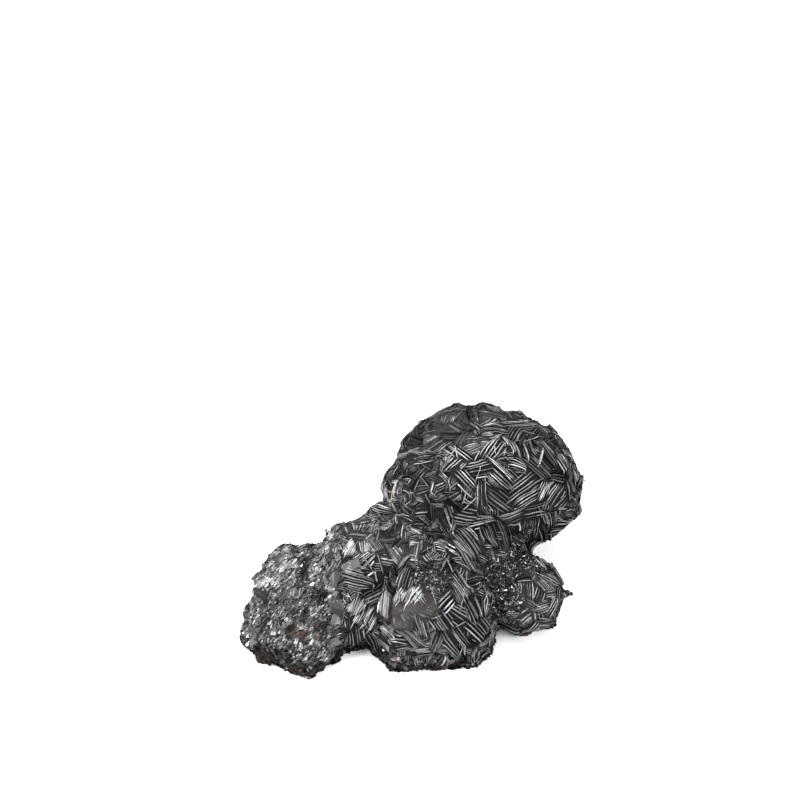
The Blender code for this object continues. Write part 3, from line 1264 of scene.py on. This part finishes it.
def joined_mesh(name: str, copies: Sequence[Copy], faces: Faces, terrain: Terrain) -> bpy.types.Mesh:
    """One mesh of many copies of a shape.

    Args:
        name: the mesh's name.
        copies: each copy's vertices, painted light values and shade.
        faces: the shape's faces.
        terrain: gives the stains.

    Returns:
        The mesh, with the painted light, the shade and the stains stored on its points.
    """
    count = len(copies[0][0])
    vertices = np.clip(np.concatenate([made[0] for made in copies]), *np.array(CAD_BOX))
    corners = np.concatenate([np.array(face) for face in faces])
    loops = (corners[None, :] + (np.arange(len(copies)) * count)[:, None]).ravel()
    totals = np.tile([len(face) for face in faces], len(copies))
    mesh = bpy.data.meshes.new(name)
    mesh.vertices.add(len(vertices))
    mesh.vertices.foreach_set("co", vertices.astype(np.float32).ravel())
    mesh.loops.add(len(loops))
    mesh.loops.foreach_set("vertex_index", loops.astype(np.int32))
    mesh.polygons.add(len(totals))
    mesh.polygons.foreach_set("loop_start", (np.cumsum(totals) - totals).astype(np.int32))
    mesh.update(calc_edges=True)
    mesh.validate()
    mesh.shade_flat()
    _, strength, colours = terrain.marked(vertices)
    # The painted light: painted highlights on tops and upper edges, painted shade at the feet.
    store(mesh, "painted_crest_light", np.concatenate([made[1] for made in copies]))
    store(mesh, "shade", np.repeat([made[2] for made in copies], count))
    store(mesh, "stain", strength)
    store(mesh, "stain_colour", colours)
    return mesh


LOBES = {
    "crown": (20.0, 16.0), "shoulder": (3.0, 8.0), "front": (6.0, -21.0),
    "saddle": (-11.0, -11.0), "right": (29.0, -15.0),
}


@dataclass
class Laths:
    """All laths as pieces, one for each lobe, whose middles in plan LOBES gives in millimetres."""

    view: View
    mass: GrownMass
    terrain: Terrain
    seed: int = 8

    def build(self) -> None:
        """Make the laths and share them among the lobes."""
        strip = lath_strip()
        woven = LathField(self.view, self.mass, self.terrain)
        rng = np.random.default_rng(self.seed)
        middles = np.array(list(LOBES.values())) * MM
        shapes: dict[str, list[Copy]] = {name: [] for name in LOBES}
        lines = list(woven.lines())
        lines += list(woven.fillers(lines))
        lines += list(woven.strays())
        for line in lines:
            centre = line.points.mean(axis=0)[:2]
            lobe = list(LOBES)[int(np.argmin(np.linalg.norm(middles - centre, axis=1)))]
            shapes[lobe].append((*laid(strip, line, rng), line.shade))
        self.meshes = [
            joined_mesh(f"{lobe}_laths", made, strip.faces, self.terrain)
            for lobe, made in shapes.items() if made
        ]

    def dress(self, material: bpy.types.Material) -> None:
        """Finish every piece of laths."""
        for mesh in self.meshes:
            dressed(mesh, material)


def grain_shapes(rng: np.random.Generator, kinds: int = 8, cuts: int = 3) -> list[tuple[Array, Faces]]:
    """Irregular cleavage blocks one unit across.

    Args:
        rng: for their differences.
        kinds: how many.
        cuts: how many corners are cut off each.

    Returns:
        Each block's vertices and faces.
    """
    made = []
    for _ in range(kinds):
        bm = bmesh.new()
        bmesh.ops.create_cube(bm, size=1.0)
        for _ in range(cuts):
            cut = Vector(rng.normal(size=3)).normalized()
            geom = bm.verts[:] + bm.edges[:] + bm.faces[:]
            place = cut * rng.uniform(0.3, 0.48)
            bmesh.ops.bisect_plane(bm, geom=geom, plane_co=place, plane_no=cut, clear_outer=True)
            bmesh.ops.holes_fill(bm, edges=[e for e in bm.edges if e.is_boundary])
        bmesh.ops.recalc_face_normals(bm, faces=bm.faces)
        bm.verts.index_update()
        made.append((np.array([v.co for v in bm.verts]), [tuple(v.index for v in f.verts) for f in bm.faces]))
        bm.free()
    return made


@dataclass(frozen=True)
class GrainStyle:
    """How grains lie on a ground, in millimetres; depth and narrowness are shares of the length.

    scatter is how unevenly they tilt, swing how unevenly they turn, sparkle the share that is bright,
    and cuts how many corners each has lost. A streaked ground has its grains drawn out along streak
    and all tilted to one side, as shingles.
    """

    ground: Ground
    spacing: float
    length: Span
    narrow: Span
    depth: Span
    scatter: float
    shade: Span
    sparkle: float
    streak: tuple[float, float, float] | None = None
    tilt: float = 0.0
    cuts: int = 3
    swing: float = 0.35


GRAIN_STYLES = {
    "cleavage_plates": GrainStyle(
        Ground.BROKEN, 2.6, (1.2, 2.4), (0.5, 0.9), (0.12, 0.2), 0.10, (0.06, 0.18), 0.0,
    ),
    "cleavage_grains": GrainStyle(
        Ground.BROKEN, 0.44, (0.5, 1.7), (0.20, 0.34), (0.14, 0.24), 0.16, (0.01, 0.34), 0.05,
        streak=(0.64, 0.54, 0.54), tilt=0.28, cuts=1, swing=0.18,
    ),
    "pit_grains": GrainStyle(
        Ground.GRAINY, 0.36, (0.25, 0.9), (0.2, 0.45), (0.25, 0.5), 0.8, (0.0, 0.28), 0.12,
    ),
    "root_grains": GrainStyle(
        Ground.ROOT, 0.70, (0.6, 1.8), (0.4, 0.9), (0.2, 0.4), 0.35, (0.0, 0.09), 0.02,
    ),
}


@dataclass
class Grains(Piece):
    """Cleavage grains over one kind of ground.

    lowest is how near the floor they may be, and sink how deep they stand, for their depth. drift is
    how much their shade wanders over drift_size, shine the shade of the bright ones, and crest the
    painted light half way up, which paints a grain's top bright as a highlight and its foot dark as shade.
    """

    name: str
    style: GrainStyle
    mass: GrownMass
    terrain: Terrain
    seed: int
    lowest: float = 0.3 * MM
    sink: float = 0.1
    drift: float = 0.6
    drift_size: float = 2.5 * MM
    shine: Span = (0.7, 1.0)
    painted_crest_light: float = 0.6

    def turned(self, normal: Array, rng: np.random.Generator) -> Array:
        """A grain's axes.

        Args:
            normal: the ground's normal.
            rng: for small differences.

        Returns:
            Its length, its width and its upper face's normal, as columns.
        """
        heading = rng.normal(size=3) if self.style.streak is None else np.array(self.style.streak)
        along = in_surface(heading, normal)
        basis = Matrix(np.stack([along, np.cross(normal, along), normal], axis=1).tolist())
        spread = self.style.scatter
        roll = Matrix.Rotation(self.style.tilt + rng.normal() * spread, 3, "X")
        pitch = Matrix.Rotation(rng.normal() * spread, 3, "Y")
        yaw = Matrix.Rotation(rng.normal() * self.style.swing, 3, "Z")
        return np.array(basis @ roll @ pitch @ yaw)

    def grain(self, face: int, shape: Array, gleam: float, rng: np.random.Generator) -> Copy:
        """One grain.

        Args:
            face: the number of the ground's face that it stands on.
            shape: its vertices, one unit across.
            gleam: the shade that marks add.
            rng: for its size, its tilt and its shade.

        Returns:
            Its vertices, painted light values and shade.
        """
        style = self.style
        normal = self.mass.normals[face]
        shares = np.array([1.0, rng.uniform(*style.narrow), rng.uniform(*style.depth)])
        size = rng.uniform(*style.length) * MM * shares
        place = self.mass.centres[face] - normal * size[2] * self.sink
        vertices = (shape * size) @ self.turned(normal, rng).T + place
        if rng.random() < style.sparkle:
            shade = rng.uniform(*self.shine)
        else:
            drift = 1 + self.drift * noise.noise(Vector(place) / self.drift_size)
            shade = rng.uniform(*style.shade) * drift
        # The painted light rises with height in the grain, painted shade low and painted highlight on top;
        # gleam adds the marks' painted glints and shade.
        return vertices, np.clip(shape[:, 2] + self.painted_crest_light, 0, 1), shade + gleam

    def build(self) -> None:
        """Scatter the grains and join them."""
        rng = np.random.default_rng(self.seed)
        kinds = grain_shapes(rng, cuts=self.style.cuts)
        areas, centres = self.mass.areas, self.mass.centres
        wanted = (self.terrain.at(centres) == self.style.ground.value) & (centres[:, 2] > self.lowest)
        wanted &= ~self.terrain.on_plate(centres)
        index = np.nonzero(wanted)[0]
        gleams = self.terrain.marked(centres)[0] * MARK_GLEAM
        number = int(areas[wanted].sum() / (self.style.spacing * MM) ** 2)
        groups: list[list[Copy]] = [[] for _ in kinds]
        for face in rng.choice(index, size=number, p=areas[index] / areas[index].sum()):
            kind = int(rng.integers(len(kinds)))
            groups[kind].append(self.grain(face, kinds[kind][0], gleams[face], rng))
        parts = (
            joined_mesh(f"{self.name}_{kind}", group, kinds[kind][1], self.terrain)
            for kind, group in enumerate(groups)
        )
        self.mesh = merged(self.name, parts)


@dataclass
class CleavageFaces(Piece):
    """The larger flat faces of the broken lobe."""

    terrain: Terrain
    seed: int = 31
    cuts: int = 7
    overlap: float = 2.3
    thickness: float = 0.6 * MM
    proud: float = 0.02 * MM

    def build(self) -> None:
        """Cut each face as a thin many-sided plate, lying on the ground."""
        kinds = grain_shapes(np.random.default_rng(self.seed), len(PLATES), cuts=self.cuts)
        parts = []
        for site, (shape, faces) in zip(self.terrain.plates, kinds):
            size = np.array([site.half_length * self.overlap, site.half_width * self.overlap, self.thickness])
            basis = np.stack([site.axis, np.cross(site.normal, site.axis), site.normal])
            vertices = (shape * size) @ basis + site.place + site.normal * self.proud
            face = (vertices, np.ones(len(shape)), site.glow)
            parts.append(joined_mesh("face", [face], faces, self.terrain))
        self.mesh = merged("cleavage_faces", parts)


@dataclass
class ToothCrystal(Piece):
    """The pointed crystal on the side of the right lobe, with two small ones at its foot.

    Sizes are in millimetres. Each of crystals has its tip's height over the first one's, its size
    for that, and how far it spreads along Y. The first ends inset from the solid's tip, and one of no
    size would end shorter by so much more. gather is how much of the spread and the height is left at
    the roots.
    """

    root: tuple[float, float, float] = (-6.5, 0.2, -0.4)
    inset: float = 0.2
    shorter: float = 3.0
    gather: tuple[float, float] = (0.5, 0.6)
    radius: float = 1.9
    tip_radius: float = 0.12
    sides: int = 5
    crystals: tuple[tuple[float, float, float], ...] = (
        (0.0, 1.0, 0.0), (-1.6, 0.72, 1.5), (1.2, 0.66, -1.6),
    )
    # the even painted light of every face of the crystals
    painted_crest_light: float = 0.8
    shade: float = 0.35

    def build(self) -> None:
        """Grow the crystals towards the farthest point of the solid on +X."""
        tip = max((v.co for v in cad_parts[NODE].data.vertices), key=lambda co: co.x)
        bm = bmesh.new()
        for lift, share, spread in self.crystals:
            end = tip + Vector((-self.inset - self.shorter * (1 - share), spread, lift)) * MM
            gathered = Vector((0, spread * self.gather[0], lift * self.gather[1]))
            start = tip + (Vector(self.root) + gathered) * MM
            turn = (end - start).to_track_quat("Z", "Y").to_matrix().to_4x4()
            bmesh.ops.create_cone(
                bm, cap_ends=True, segments=self.sides, radius1=self.radius * MM * share,
                radius2=self.tip_radius * MM, depth=(end - start).length,
                matrix=Matrix.Translation((start + end) / 2) @ turn,
            )
        self.mesh = mesh_of(bm, "tooth_crystal")
        self.mesh.shade_flat()
        store(self.mesh, "painted_crest_light", np.full(len(self.mesh.vertices), self.painted_crest_light))
        store(self.mesh, "shade", np.full(len(self.mesh.vertices), self.shade))


@dataclass
class Studio:
    """A pale floor and soft lights.

    Each softbox has its name, its place and its side in metres, and its power in watts.
    """

    floor_size: float = 6.0
    floor_drop: float = 0.05 * MM
    floor_colour: Colour = (0.97, 0.97, 0.97, 1.0)
    floor_roughness: float = 0.9
    room_strength: float = 0.89
    softboxes: tuple[tuple[str, tuple[float, float, float], float, float], ...] = (
        ("overhead", (-0.25, 0.35, 1.1), 1.2, 43.0),
        ("left", (-1.0, -0.4, 0.7), 0.7, 28.0),
        ("right", (0.9, -0.6, 0.8), 0.5, 18.0),
    )

    def floor(self) -> None:
        """Make the floor, which is no part of the specimen."""
        bm = bmesh.new()
        bmesh.ops.create_grid(bm, x_segments=1, y_segments=1, size=self.floor_size / 2)
        mesh = mesh_of(bm, "floor")
        floor = link_mesh("floor", mesh)
        floor.location.z = -self.floor_drop
        paper = Shader("floor_paper").finish(Base_Color=self.floor_colour, Roughness=self.floor_roughness)
        mesh.materials.append(paper)

    def light(self) -> None:
        """Hang the softboxes, all facing the specimen, and set the room's own light."""
        for name, place, side, power in self.softboxes:
            data = bpy.data.lights.new(name, "AREA")
            data.size = side
            data.energy = power
            light = bpy.data.objects.new(name, data)
            light.location = place
            light.rotation_euler = (-Vector(place)).to_track_quat("-Z", "Y").to_euler()
            bpy.context.scene.collection.objects.link(light)
        world = bpy.data.worlds.new("room")
        world.use_nodes = True
        background = world.node_tree.nodes["Background"]
        background.inputs["Color"].default_value = (1, 1, 1, 1)
        background.inputs["Strength"].default_value = self.room_strength
        bpy.context.scene.world = world
        bpy.context.scene.view_settings.view_transform = "Standard"


def main() -> None:
    """Build, dress and light the specimen."""
    logging.basicConfig(level=logging.INFO)
    view = View()
    view.camera()
    mass = GrownMass()
    mass.build()
    terrain = Terrain(view, mass)
    mass.dress(terrain.worn)
    lath = LATH_FINISH.material()
    cleavage = CLEAVAGE_FINISH.material()
    laths = Laths(view, mass, terrain)
    laths.build()
    laths.dress(lath)
    # The grains in pits and hollows take the darker copy, painted shade of their recesses.
    shaded_pit = SHADED_PIT_FINISH.material()
    for seed, (name, style) in enumerate(GRAIN_STYLES.items(), start=21):
        grains = Grains(name, style, mass, terrain, seed)
        grains.build()
        grains.dress(shaded_pit if style.ground is Ground.GRAINY else cleavage)
    for piece in (CleavageFaces(terrain), ToothCrystal()):
        piece.build()
        piece.dress(cleavage)
    studio = Studio()
    studio.floor()
    studio.light()


if __name__ == "__main__":
    main()
